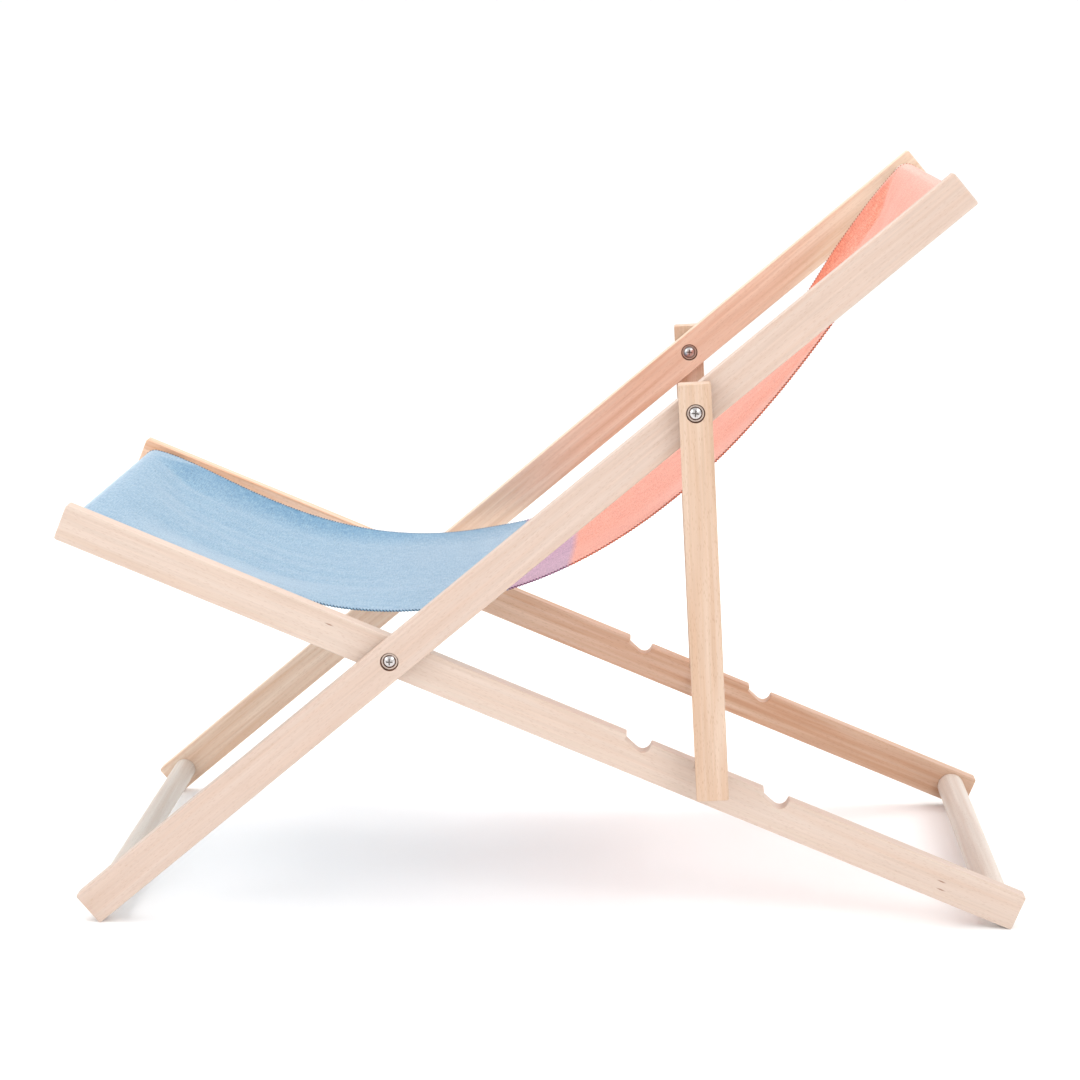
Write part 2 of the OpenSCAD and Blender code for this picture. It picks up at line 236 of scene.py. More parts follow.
def sinkRecess(bm, s, side, y, radius, depth):
    for cut in (s - recessCut["halfCell"], s + recessCut["halfCell"]):
        bmesh.ops.bisect_plane(bm, geom=bm.verts[:] + bm.edges[:] + bm.faces[:], dist=1e-6,
                               plane_co=(cut * mm, 0, 0), plane_no=(1, 0, 0))
    bm.normal_update()
    flats = [f for f in bm.faces if f.normal.y * side > 0.95]
    spot = Vector((s * mm, y * mm, 0))
    cell = min(flats, key=lambda f: (f.calc_center_median() - spot).length)
    rim = cell.edges[:]
    bmesh.ops.delete(bm, geom=[cell], context="FACES_ONLY")
    bmesh.ops.subdivide_edges(bm, edges=rim, cuts=recessCut["rimCuts"])
    rim = [e for e in bm.edges if len(e.link_faces) == 1]
    upright = Matrix.Rotation(math.pi / 2, 4, "X")
    clear = Vector((0, side * recessCut["apart"] * mm, 0))
    sunk = Vector((0, side * depth * mm, 0))
    mouth = bmesh.ops.create_circle(bm, cap_ends=False, segments=recessCut["sides"], radius=radius * mm,
                                    matrix=Matrix.Translation(spot + clear) @ upright)["verts"]
    base = bmesh.ops.create_circle(bm, cap_ends=True, segments=recessCut["sides"], radius=radius * mm,
                                   matrix=Matrix.Translation(spot - sunk) @ upright)["verts"]
    mouthEdges = list({e for v in mouth for e in v.link_edges})
    baseEdges = list({e for v in base for e in v.link_edges})
    bmesh.ops.bridge_loops(bm, edges=rim + mouthEdges)
    bmesh.ops.bridge_loops(bm, edges=mouthEdges + baseEdges)
    bmesh.ops.translate(bm, verts=mouth, vec=-clear)
    # the recess floor takes the second material, painted dark as shade
    for f in {f for v in base for f in v.link_faces}:
        f.material_index = 1
    bmesh.ops.recalc_face_normals(bm, faces=bm.faces[:])
    bmesh.ops.bevel(bm, geom=mouthEdges, offset=recessCut["mouthRound"] * mm, offset_type="OFFSET",
                    segments=recessCut["mouthSteps"], profile=0.5, affect="EDGES", material=-1)


# outline in the side view, then thickness, rounded corners, soft arrises and recesses
def sawRail(outline, rounds, y0, y1, recesses, edgeRound, place):
    bm = bmesh.new()
    side = bm.faces.new([bm.verts.new((s * mm, y0 * mm, h * mm)) for s, h in outline])
    pulled = bmesh.ops.extrude_face_region(bm, geom=[side])["geom"]
    bmesh.ops.translate(bm, verts=[g for g in pulled if isinstance(g, bmesh.types.BMVert)],
                        vec=(0, (y1 - y0) * mm, 0))
    bmesh.ops.holes_fill(bm, edges=bm.edges[:])
    bmesh.ops.recalc_face_normals(bm, faces=bm.faces[:])
    for (s, h), reach, steps in rounds:
        bmesh.ops.bevel(bm, geom=edgesAlongY(bm, s, h), offset=reach * mm, offset_type="OFFSET",
                        segments=steps, profile=0.5, affect="EDGES", material=-1)
    bm.normal_update()
    arris = [e for e in bm.edges if len(e.link_faces) == 2
             and abs(abs(e.link_faces[0].normal.y) - abs(e.link_faces[1].normal.y)) > 0.5]
    bmesh.ops.bevel(bm, geom=arris, offset=edgeRound * mm, offset_type="OFFSET",
                    segments=chair["arrisSteps"], profile=0.5, affect="EDGES", material=-1)
    bmesh.ops.recalc_face_normals(bm, faces=bm.faces[:])
    for s, outward, y, radius, depth in recesses:
        sinkRecess(bm, s, outward, y, radius, depth)
    bmesh.ops.recalc_face_normals(bm, faces=bm.faces[:])
    bmesh.ops.transform(bm, matrix=place, verts=bm.verts)
    return bm


def boxOutline(s0, s1, width):
    half = width / 2
    corners = [(s0, -half), (s1, -half), (s1, half), (s0, half)]
    return corners, [(c, chair["cornerRound"], chair["cornerSteps"]) for c in corners]


# recess floors: the timber painted dark, as painted shade for the shade inside the bored recesses
recessShadeBeech = beech("oiled beech, bored recesses in painted shade", (0, 0, math.pi / 2), (0.2, 0.1, 0.4),
                   "#7C523A", "#583624", "#3D2418")


def flattenShading(piece):  # keeps the broad flats flat beside their rounded edges, and lines the recesses
    # the second material paints shade on the recess floors
    piece.data.materials.append(recessShadeBeech)
    weighted = piece.modifiers.new("flat faces", "WEIGHTED_NORMAL")
    weighted.keep_sharp = True


# back frame rails
backRail = {"edgeRound": 1.3, "recess": 10.5, "recessDeep": 4.2}
# the far (right) back rail's tones are lightened as painted light, to make up for the shade that the sling
# and near frame cast on its inner face
backTonesPaintedLight = {"left": {}, "right": {"light": "#E1CAB6", "dark": "#D2AF95", "fleck": "#B68F74"}}
for side, sign, cut in (("left", -1, (0.0, 0.0, 0.03)), ("right", 1, (0.4, 0.3, 0.11))):
    corners, rounds = boxOutline(-chair["backFoot"], chair["backHead"], chair["railWidth"])
    y0, y1 = sign * backOut, sign * backIn
    recesses = [(0.0, sign, y0, backRail["recess"], backRail["recessDeep"]),
                (chair["propAt"], -sign, y1, backRail["recess"], backRail["recessDeep"])]
    bm = sawRail(corners, rounds, y0, y1, recesses, backRail["edgeRound"], placeBack)
    timber = beech("oiled beech, back rail " + side, *alongBack(cut, **backTonesPaintedLight[side]))
    rail = finishPiece("backRail." + side, bm, timber, "back_frame", ["back_rail_" + side])
    flattenShading(rail)
print("back rails made")

# seat frame rails, with the row of notches that the prop bar drops into
seatRail = {"edgeRound": 1.2, "recess": 10.5, "recessDeep": 4.2, "notchLong": 30.5, "notchSlope": 20.3,
            "lipRound": 2.2, "wallRound": 1.9, "rootSteps": 10, "lipSteps": 4}
# the far (right) seat rail's tones are darker as painted shade, its dark tone also giving its grain more
# contrast, and its front end is painted lighter as painted light
seatKnotsAndPaintedShade = {"left": {"knots": [(-0.2453, -0.247, 0.3553), (0.4625, -0.247, 0.0568),
                                (0.4621, -0.247, 0.0469)]},
             "right": {"light": "#CBAD97", "dark": "#BA9073", "fleck": "#9E7054", "frontPaintedLight": 1.32}}


def notchedOutline():
    half = chair["railWidth"] / 2
    s0, s1 = -chair["seatFront"], chair["seatRear"]
    corners = [(s0, -half), (s1, -half), (s1, half)]
    rounds = [(c, chair["cornerRound"], chair["cornerSteps"]) for c in corners + [(s0, half)]]
    tilt = math.radians(seatRail["notchSlope"])
    r, deep, long = chair["notchRound"], chair["notchDepth"], seatRail["notchLong"]
    touchS, touchH = -r - r * math.sin(tilt), r - deep - r * math.cos(tilt)
    lipH = touchH + (long + touchS) * math.tan(tilt)
    rootH = touchH + touchS * math.tan(tilt)
    reach = r / math.tan((math.pi / 2 - tilt) / 2)
    for i in (1, 0, -1):
        wall = chair["notchAt"] + i * chair["notchPitch"]
        corners += [(wall, half), (wall, half + rootH), (wall - long, half + lipH), (wall - long, half)]
        rounds += [((wall, half + rootH), reach, seatRail["rootSteps"]),
                   ((wall - long, half), seatRail["lipRound"], seatRail["lipSteps"]),
                   ((wall, half), seatRail["wallRound"], seatRail["lipSteps"])]
    return corners + [(s0, half)], rounds


for side, sign, cut in (("left", -1, (0.7, 0.1, 0.21)), ("right", 1, (0.2, 0.5, 0.37))):
    corners, rounds = notchedOutline()
    y0, y1 = sign * seatOut, sign * chair["seatIn"]
    recesses = [(0.0, -sign, y1, seatRail["recess"], seatRail["recessDeep"])]
    bm = sawRail(corners, rounds, y0, y1, recesses, seatRail["edgeRound"], placeSeat)
    timber = beech("oiled beech, seat rail " + side, *alongSeat(cut, **seatKnotsAndPaintedShade[side]))
    rail = finishPiece("seatRail." + side, bm, timber, "seat_frame", ["seat_rail_" + side])
    flattenShading(rail)
print("seat rails made")

# prop struts
strut = {"width": 37.0, "over": 33.0, "under": 22.0, "edgeRound": 1.3, "recess": 10.5, "recessDeep": 4.2}
for side, sign, cut in (("left", -1, (0.15, 0.6, 0.05)), ("right", 1, (0.55, 0.2, 0.47))):
    corners, rounds = boxOutline(-strut["over"], propLine.length / mm + strut["under"], strut["width"])
    y0, y1 = sign * strutOut, sign * strutIn
    recesses = [(0.0, sign, y0, strut["recess"], strut["recessDeep"])]
    bm = sawRail(corners, rounds, y0, y1, recesses, strut["edgeRound"], placeProp)
    timber = beech("oiled beech, prop strut " + side, *alongProp(cut))
    piece = finishPiece("propStrut." + side, bm, timber, "prop_frame", ["prop_strut_" + side])
    flattenShading(piece)
print("prop struts made")

# turned bars keep their solids and take the same timber, with the grain running across the chair
bars = {"top_bar": (0.1, 0.2, 0.3), "front_bar": (0.5, 0.1, 0.2), "front_floor_bar": (0.3, 0.7, 0.6),
        "rear_floor_bar": (0.8, 0.3, 0.1), "prop_bar": (0.6, 0.4, 0.9)}
for name, cut in bars.items():
    nodes[name].data.materials.clear()
    nodes[name].data.materials.append(beech("oiled beech, " + name.replace("_", " "), *acrossChair(cut)))

# stainless steel: cold-headed bolts with a bright satin dome and painted shade in the cross recess, pressed
# washers a little duller; the turning lines, in metres, are drawn coarser than life so that they show, and
# the slots are in millimetres
steelLook = {"turnLines": 0.0006, "cloud": 0.004, "boltRoughness": 0.2, "nutRoughness": 0.34,
             "washerRoughness": 0.42, "slotLong": 7.8, "slotWide": 1.5, "slotSoft": 0.15,
             "slotPaintedShade": "#625B58"}


def crossMask(tree, coords, centre, turn):  # 1 in the cross recess of a head, 0 on its dome
    local = addNode(tree, "ShaderNodeMapping",
                    {"vector_type": "TEXTURE", "Location": centre, "Rotation": (0, turn, 0)},
                    Vector=coords.outputs["Object"])
    parts = addNode(tree, "ShaderNodeSeparateXYZ", Vector=local.outputs["Vector"])
    x, z = (addNode(tree, "ShaderNodeMath", {"operation": "ABSOLUTE"}, i0=parts.outputs[k]).outputs["Value"]
            for k in "XZ")
    arms = []
    for operation, wide in (("MINIMUM", steelLook["slotWide"]), ("MAXIMUM", steelLook["slotLong"])):
        reach = addNode(tree, "ShaderNodeMath", {"operation": operation}, i0=x, i1=z)
        inner, outer = ((wide / 2 + k * steelLook["slotSoft"]) * mm for k in (-1, 1))
        arms.append(addNode(tree, "ShaderNodeMapRange",
                            {"From Min": inner, "From Max": outer, "To Min": 1.0, "To Max": 0.0},
                            Value=reach.outputs["Value"]))
    return addNode(tree, "ShaderNodeMath", {"operation": "MULTIPLY"},
                   i0=arms[0].outputs["Result"], i1=arms[1].outputs["Result"])


def stainless(name, light, dark, roughness, cross=None):
    material, tree, shader = newMaterial(name)
    coords = addNode(tree, "ShaderNodeTexCoord")
    grain = addNode(tree, "ShaderNodeTexNoise", {"Scale": 1 / steelLook["turnLines"], "Detail": 2.0},
                    Vector=coords.outputs["Object"])
    cloud = addNode(tree, "ShaderNodeTexNoise", {"Scale": 1 / steelLook["cloud"], "Detail": 2.0},
                    Vector=coords.outputs["Object"])
    tint = addNode(tree, "ShaderNodeMix", {"data_type": "RGBA"}, i0=cloud.outputs["Fac"])
    tint.inputs[6].default_value = linear(light)
    tint.inputs[7].default_value = linear(dark)
    # painted shade: the cross recess is darkened in the colour
    if cross:
        mask = crossMask(tree, coords, *cross)
        tint = addNode(tree, "ShaderNodeMix", {"data_type": "RGBA"}, i0=mask.outputs["Value"],
                       i6=tint.outputs[2])
        tint.inputs[7].default_value = linear(steelLook["slotPaintedShade"])
    dull = addNode(tree, "ShaderNodeMapRange", {"To Min": roughness - 0.07, "To Max": roughness + 0.1},
                   Value=grain.outputs["Fac"])
    relief = addNode(tree, "ShaderNodeBump", {"Strength": 0.06, "Distance": 0.0001},
                     Height=grain.outputs["Fac"])
    tree.links.new(tint.outputs[2], shader.inputs["Base Color"])
    tree.links.new(dull.outputs["Result"], shader.inputs["Roughness"])
    tree.links.new(relief.outputs["Normal"], shader.inputs["Normal"])
    shader.inputs["Metallic"].default_value = 1.0
    return material


crosses = {"pivot": (foldAt, 0.0), "prop": (propAt, 0.1)}
# the washers' warm beige tint is a painted reflection of the timber round them
washerSteel = stainless("stainless steel, washers", "#D0BEB2", "#B4A196", steelLook["washerRoughness"])
for joint, cross in crosses.items():
    boltSteel = stainless("stainless steel, domed " + joint + " bolts", "#D3CFCE", "#B3AEAD",
                          steelLook["boltRoughness"], cross)
    nutSteel = stainless("stainless steel, " + joint + " cap nuts", "#D2D1D1", "#B9B6B4",
                         steelLook["nutRoughness"], cross)
    steels = {"bolt": boltSteel, "nut": nutSteel, "spacers": washerSteel}
    for name, node in nodes.items():
        steel = washerSteel if name.endswith("washers") else steels.get(name.split("_")[1])
        if name.startswith(joint) and steel:
            node.data.materials.clear()
            node.data.materials.append(steel)
print("bars and fittings finished")

# canvas sling: one long cloth, sewn into a pocket round each bar, hanging free between them; millimetres,
# and pulls are the control points of the hanging curve, from the cross pivot
sling = {"width": 436.0, "thick": 1.1, "loop": 14.9, "frontSlope": 14.2, "headSlope": 46.0,
         "pulls": [(-206.6, 124.4), (-9.1, -115.9), (388.0, 69.3), (468.5, 388.6)],
         "seamAt": 36.0, "hem": 12.0, "layerStep": 1.9, "hemSteps": 5, "seamSteps": 9, "loopSteps": 28,
         "hangSteps": 190, "acrossSteps": 64, "edgeFiner": 1.35, "curveSteps": 2000}
frontReach, headReach = (chair[k] - chair["slingInset"] for k in ("seatFront", "backHead"))
frontBar = Vector((-frontReach * math.cos(slope), frontReach * math.sin(slope)))
headBar = Vector((headReach * math.cos(lean), headReach * math.sin(lean)))


def turned(angle):
    return Vector((math.cos(angle), math.sin(angle)))


frontWay, headWay = turned(-math.radians(sling["frontSlope"])), turned(math.radians(sling["headSlope"]))
hangShape = [frontBar + sling["loop"] * Vector((-frontWay.y, frontWay.x)),
             *(Vector(p) for p in sling["pulls"]),
             headBar + sling["loop"] * Vector((-headWay.y, headWay.x))]


def smooth(share):
    share = min(1.0, max(0.0, share))
    return share * share * (3 - 2 * share)


def drawn(t, count):  # the hanging curve's control points, drawn together until count are left
    points = hangShape
    while len(points) > count:
        points = [a.lerp(b, t) for a, b in zip(points, points[1:])]
    return points


def hang(t):  # point of the hanging curve, millimetres from the cross pivot
    return drawn(t, 1)[0]


def hangUp(t):  # upper side of the hanging curve
    first, last = drawn(t, 2)
    way = (last - first).normalized()
    return Vector((-way.y, way.x))


def runAlong(points):  # distance from the first point to each point
    runs = [0.0]
    for a, b in zip(points, points[1:]):
        runs.append(runs[-1] + (b - a).length)
    return runs


def bracket(runs, run):  # the two neighbours of a distance, and its share of the way between them
    low, high = 0, len(runs) - 1
    while high - low > 1:
        mid = (low + high) // 2
        low, high = (mid, high) if runs[mid] <= run else (low, mid)
    return low, high, (run - runs[low]) / (runs[high] - runs[low])


hangRun = runAlong([hang(i / sling["curveSteps"]) for i in range(sling["curveSteps"] + 1)])
hangLong = hangRun[-1]


def hangAt(run):  # curve parameter at a distance along the cloth
    low, high, share = bracket(hangRun, run)
    return (low + share) / sling["curveSteps"]


def leaveAngle(centre, seam, startAngle, turnSign):  # where a pocket's run to its seam leaves the bar
    out = seam - centre
    leave = math.atan2(out.y, out.x) - turnSign * math.acos(sling["loop"] / out.length)
    while turnSign * (leave - startAngle) < 0:
        leave += turnSign * 2 * math.pi
    return leave


# one pocket, from its hem to the top of its bar, as (spot, outer side, hanging run, layer)
def pocket(front):
    def under(run):
        t = hangAt(run)
        return hang(t) - sling["layerStep"] * hangUp(t), hangUp(t)

    part = []
    centre = frontBar if front else headBar
    turnSign = 1 if front else -1
    barRun = 0.0 if front else hangLong
    seamRun = barRun + turnSign * sling["seamAt"]
    hemRun = seamRun + turnSign * sling["hem"]
    for i in range(sling["hemSteps"]):
        run = hemRun + (seamRun - hemRun) * i / sling["hemSteps"]
        spot, up = under(run)
        part.append((spot, -up, run, 1))
    seam = under(seamRun)[0]
    lay = -sling["frontSlope"] if front else sling["headSlope"]
    startAngle = math.pi / 2 + math.radians(lay)
    leave = leaveAngle(centre, seam, startAngle, turnSign)
    touch = centre + sling["loop"] * turned(leave)
    side = (touch - seam).normalized()
    out = Vector((-side.y, side.x))
    out = out if out.dot(touch - centre) > 0 else -out
    for i in range(sling["seamSteps"]):
        share = i / sling["seamSteps"]
        part.append((seam.lerp(touch, share), out, seamRun + (barRun - seamRun) * share, 1))
    for i in range(sling["loopSteps"]):
        angle = leave + (startAngle - leave) * i / sling["loopSteps"]
        part.append((centre + sling["loop"] * turned(angle), turned(angle), barRun, 2))
    return part


hanging = []
for i in range(sling["hangSteps"] + 1):
    run = hangLong * i / sling["hangSteps"]
    hanging.append((hang(hangAt(run)), hangUp(hangAt(run)), run, 0))
clothLine = pocket(True) + hanging + pocket(False)[::-1]
clothRun = runAlong([spot for spot, _, _, _ in clothLine])
mainStart = sling["hemSteps"] + sling["seamSteps"] + sling["loopSteps"]

# how the cloth settles, in millimetres along it or in from its selvedges: a hollow that is shallower in the
# middle of the sling, a broad margin on the near side that rolls over, a narrower one on the far side that
# sags, and a pleat at each end of the far margin, below a flat strip
settling = {"hollow": 14.0, "hollowFrom": 110.0, "ripple": 0.7, "crease": 0.3,
            "shallowFrom": 200.0, "shallowOver": 220.0, "shallowBy": 0.75,
            "nearMargin": 135.0, "farMargin": 72.0, "marginSway": 0.12, "swayLong": 73.0,
            "roll": 5.0, "rollWide": 130.0, "rollFrom": 210.0, "rollTo": 510.0, "rollEase": 110.0,
            "sag": 4.0, "sagWide": 120.0, "sagFrom": 450.0, "sagTo": 1060.0, "sagEase": 90.0,
            "strip": {"front": 34.0, "head": 12.0}, "stripFrom": 12.0, "stripOver": 66.0,
            "pleatStart": 14.0, "pleatLong": 85.0, "softFrom": 60.0, "softOver": 90.0,
            "early": 42.0, "earlyFrom": -40.0, "earlyOver": 140.0, "paintedShadeEdge": 6.0, "paintedShadeFrom": 25.0}


def farMargin(fromEdge, run):  # share of the drop, and depth of the painted shade
    fromBar = min(run, hangLong - run)
    end = "front" if fromBar == run else "head"
    strip = settling["strip"][end] * (1 - smooth((fromBar - settling["stripFrom"]) / settling["stripOver"]))
    full = settling["farMargin"] * (1 + settling["marginSway"] * math.sin(run / settling["swayLong"]))
    start = settling["pleatStart"]
    wide = start + (full - start) * smooth(fromBar / settling["pleatLong"])
    inward = min(1.0, max(0.0, (fromEdge - strip) / wide))
    curved = 1 - (1 - inward) ** 2
    share = inward + (curved - inward) * smooth((fromBar - settling["softFrom"]) / settling["softOver"])
    # painted shade: the cloth colour is darkened towards the far edge, where the margin turns from the light
    paintedShade = smooth((fromEdge - strip + settling["paintedShadeEdge"]) / settling["paintedShadeEdge"])
    return share, (1 - inward) * paintedShade * smooth(fromBar / settling["paintedShadeFrom"])


def between(run, kind):  # 1 along the middle of a stretch of the cloth, eased to 0 at its two ends
    start, end, ease = (settling[kind + k] for k in ("From", "To", "Ease"))
    return smooth((run - start) / ease) * smooth((end - run) / ease)


def settle(y, run):  # how far the middle of the cloth hangs below its two tighter edges, in millimetres
    fromBar = min(run, hangLong - run)
    early = settling["early"] * smooth((y - settling["earlyFrom"]) / settling["earlyOver"])
    shallow = settling["shallowBy"] * smooth((fromBar - settling["shallowFrom"]) / settling["shallowOver"])
    rise = smooth(fromBar / (settling["hollowFrom"] - early)) * (1 - shallow)
    fromEdge = sling["width"] / 2 - abs(y)
    # slow waves and fine creases; the divisors set their lengths
    wave = math.sin(y / 43 + run / 170) + 0.7 * math.sin(y / 27 - run / 96 + 1.3)
    crease = math.sin(y / 7.5 + 1.6 * math.sin(run / 150)) * (0.5 + 0.5 * math.sin(run / 110 + y / 60))
    depth = settling["hollow"] + settling["ripple"] * wave + settling["crease"] * crease
    if y > 0:
        inFrom, kind = farMargin(fromEdge, run)[0], "sag"
    else:
        inFrom, kind = smooth(fromEdge / settling["nearMargin"]), "roll"
    edgeDrop = settling[kind] * between(run, kind) * (1 - smooth(fromEdge / settling[kind + "Wide"]))
    return inFrom * rise * depth + edgeDrop


def clothSpot(y, index):  # one point of the cloth in the chair's frame, in metres
    spot, _, run, layer = clothLine[index]
    drop = 0.0 if layer == 2 else settle(y, run)
    placed = spot - drop * hangUp(hangAt(run))
    return foldAt + Vector((placed.x * mm, y * mm, placed.y * mm))


def dyedAt(run):  # place in the colour change, in metres from the top of the front bar
    return (run - clothRun[mainStart]) * mm


def acrossAt(share):  # finer steps near the two selvedges
    s = 2 * share - 1
    return sling["width"] / 2 * math.copysign(1 - (1 - abs(s)) ** sling["edgeFiner"], s)


bm = bmesh.new()
uvLayer = bm.loops.layers.uv.new("weave")
runLayer = bm.verts.layers.float.new("alongCloth")
marginLayer = bm.verts.layers.float.new("farMargin")
alongSteps = len(clothLine) - 1
grid = bmesh.ops.create_grid(bm, x_segments=sling["acrossSteps"], y_segments=alongSteps, size=0.5)["verts"]
uvOf = {}
for v in grid:
    index, y = round((v.co.y + 0.5) * alongSteps), acrossAt(v.co.x + 0.5)
    v.co = clothSpot(y, index)
    v[runLayer] = dyedAt(clothRun[index])
    v[marginLayer] = farMargin(sling["width"] / 2 - y, clothLine[index][2])[1]
    uvOf[v] = ((y + sling["width"] / 2) * mm, clothRun[index] * mm)
for f in bm.faces:
    for loop in f.loops:
        loop[uvLayer].uv = uvOf[loop.vert]
bm.normal_update()
lowest = min(bm.faces, key=lambda f: f.calc_center_median().z)
if lowest.normal.z < 0:
    bmesh.ops.reverse_faces(bm, faces=bm.faces[:])

# woven cotton canvas: heathered yarn, light denim blue running through lilac to coral, dry and matt with
# a faint nap; lengths in metres, the yarn drawn coarser than life so that the weave shows
# the far margin's colour is darkened by painted shade, by the share given for it here
canvasLook = {"yarn": 0.0014, "slub": 0.011, "mottle": 0.0034, "cloud": 0.024, "speck": 0.003,
              "lilacFrom": 0.5095, "coralFrom": 0.5858, "blendOver": 0.003, "dyedLong": 1.2, "marginPaintedShade": 0.3,
              "light": ("#86A5B8", "#B687A1", "#E19174"), "dark": ("#5B85A3", "#885579", "#C65731")}


def clothColours(tree, shades):  # a ramp of blue, lilac and coral along the cloth for each of the shades
    along = addNode(tree, "ShaderNodeAttribute", {"attribute_name": "alongCloth"})
    place = addNode(tree, "ShaderNodeMapRange",
                    {"From Min": 0.0, "From Max": canvasLook["dyedLong"], "To Min": 0.0, "To Max": 1.0},
                    Value=along.outputs["Fac"])
    a, b, w = (canvasLook[k] / canvasLook["dyedLong"] for k in ("lilacFrom", "coralFrom", "blendOver"))
    ramps = []
    for blue, lilac, coral in shades:
        stops = [(a - w, blue), (a + w * 0.6, lilac), (b - w * 0.4, lilac), (b + w * 0.6, coral)]
        ramps.append(setRamp(addNode(tree, "ShaderNodeValToRGB", Fac=place.outputs["Result"]), stops))
    return ramps


def canvas(name):
    material, tree, shader = newMaterial(name)
    uv = addNode(tree, "ShaderNodeUVMap", {"uv_map": "weave"})

    def noise(across, along):
        laid = addNode(tree, "ShaderNodeMapping", {"Scale": (1 / across, 1 / along, 1.0)},
                       Vector=uv.outputs["UV"])
        return addNode(tree, "ShaderNodeTexNoise", {"Scale": 1.0, "Detail": 1.0, "Roughness": 0.4},
                       Vector=laid.outputs["Vector"]).outputs["Fac"]

    warp = noise(canvasLook["yarn"], canvasLook["slub"])
    weft = noise(canvasLook["slub"], canvasLook["yarn"])
    mottle, cloud, speck = (noise(canvasLook[k], canvasLook[k]) for k in ("mottle", "cloud", "speck"))
    both = addNode(tree, "ShaderNodeMath", {"operation": "ADD"}, i0=warp, i1=weft)
    heather = both
    for patch, weight in ((mottle, 0.3), (cloud, 0.22)):
        heather = addNode(tree, "ShaderNodeMath", {"operation": "MULTIPLY_ADD"},
                          i0=patch, i2=heather.outputs["Value"])
        heather.inputs[1].default_value = weight
    spread = addNode(tree, "ShaderNodeMapRange",
                     {"From Min": 1.0, "From Max": 1.52, "To Min": 0.0, "To Max": 1.0},
                     Value=heather.outputs["Value"])
    light, dark = clothColours(tree, [canvasLook["light"], canvasLook["dark"]])
    marginShadeAttribute = addNode(tree, "ShaderNodeAttribute", {"attribute_name": "farMargin"})  # far margin's painted shade
    marginShaded = addNode(tree, "ShaderNodeMath", {"operation": "MULTIPLY_ADD"},
                       i0=marginShadeAttribute.outputs["Fac"], i2=spread.outputs["Result"])
    marginShaded.inputs[1].default_value = canvasLook["marginPaintedShade"]
    yarnMix = addNode(tree, "ShaderNodeMix", {"data_type": "RGBA"}, i0=marginShaded.outputs["Value"],
                      i6=light.outputs["Color"], i7=dark.outputs["Color"])
    speckShade = addNode(tree, "ShaderNodeMapRange",
                         {"From Min": 0.6, "From Max": 0.72, "To Min": 1.0, "To Max": 0.7}, Value=speck)
    specked = addNode(tree, "ShaderNodeVectorMath", {"operation": "SCALE"},
                      Vector=yarnMix.outputs[2], Scale=speckShade.outputs["Result"])
    relief = addNode(tree, "ShaderNodeBump", {"Strength": 0.22, "Distance": 0.0005},
                     Height=both.outputs["Value"])
    tree.links.new(specked.outputs["Vector"], shader.inputs["Base Color"])
    tree.links.new(relief.outputs["Normal"], shader.inputs["Normal"])
    shader.inputs["Roughness"].default_value = 0.92
    shader.inputs["Specular IOR Level"].default_value = 0.15
    shader.inputs["Sheen Weight"].default_value = 0.6
    shader.inputs["Sheen Roughness"].default_value = 0.4
    return material


clothPiece = finishPiece("slingCanvas", bm, canvas("woven cotton canvas"), None, ["sling_seat", "sling_back"])
thickness = clothPiece.modifiers.new("cloth thickness", "SOLIDIFY")
thickness.thickness = sling["thick"] * mm
thickness.offset = 0.0
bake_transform(clothPiece)

# overlocked selvedges: one thread that winds round each long edge of the cloth, in millimetres, drawn
# coarser than life so that its stitches show; wrapShade is how much painted shade the turn over the edge
# gets, less on the far edge, which is seen from above, and hemSkip the number of steps of the cloth's line
# left unsewn at each hem
overlock = {"pitch": 3.8, "bite": 2.6, "thread": 0.55, "lift": 0.88, "over": 0.4, "ply": 10 / 9,
            "hemSkip": 8, "wrapShade": {"left": 1.0, "right": 0.15},
            # above is the thread's own colour, below the same thread in painted shade, round and under the
            # edge
            "above": ("#6C90AB", "#8D6382", "#C86C50"), "below": ("#153B59", "#36132D", "#74240F")}


# twisted polyester thread: near the cloth's own colour above, painted shade round and under the edge, soft
# low shine
def sewingThread(name):
    material, tree, shader = newMaterial(name)
    coords = addNode(tree, "ShaderNodeTexCoord")
    ply = addNode(tree, "ShaderNodeTexNoise", {"Scale": 1 / (overlock["ply"] * mm), "Detail": 1.0},
                  Vector=coords.outputs["Object"])
    above, below = clothColours(tree, [overlock["above"], overlock["below"]])
    # painted shade, by each point's share of the underside
    under = addNode(tree, "ShaderNodeAttribute", {"attribute_name": "underside"})
    tint = addNode(tree, "ShaderNodeMix", {"data_type": "RGBA"}, i0=under.outputs["Fac"],
                   i6=above.outputs["Color"], i7=below.outputs["Color"])
    shade = addNode(tree, "ShaderNodeMapRange",
                    {"From Min": 0.3, "From Max": 0.7, "To Min": 0.8, "To Max": 1.1},
                    Value=ply.outputs["Fac"])
    plied = addNode(tree, "ShaderNodeVectorMath", {"operation": "SCALE"},
                    Vector=tint.outputs[2], Scale=shade.outputs["Result"])
    relief = addNode(tree, "ShaderNodeBump", {"Strength": 0.3, "Distance": 0.0002}, Height=ply.outputs["Fac"])
    tree.links.new(plied.outputs["Vector"], shader.inputs["Base Color"])
    tree.links.new(relief.outputs["Normal"], shader.inputs["Normal"])
    shader.inputs["Roughness"].default_value = 0.6
    return material


threadStuff = sewingThread("twisted polyester thread")


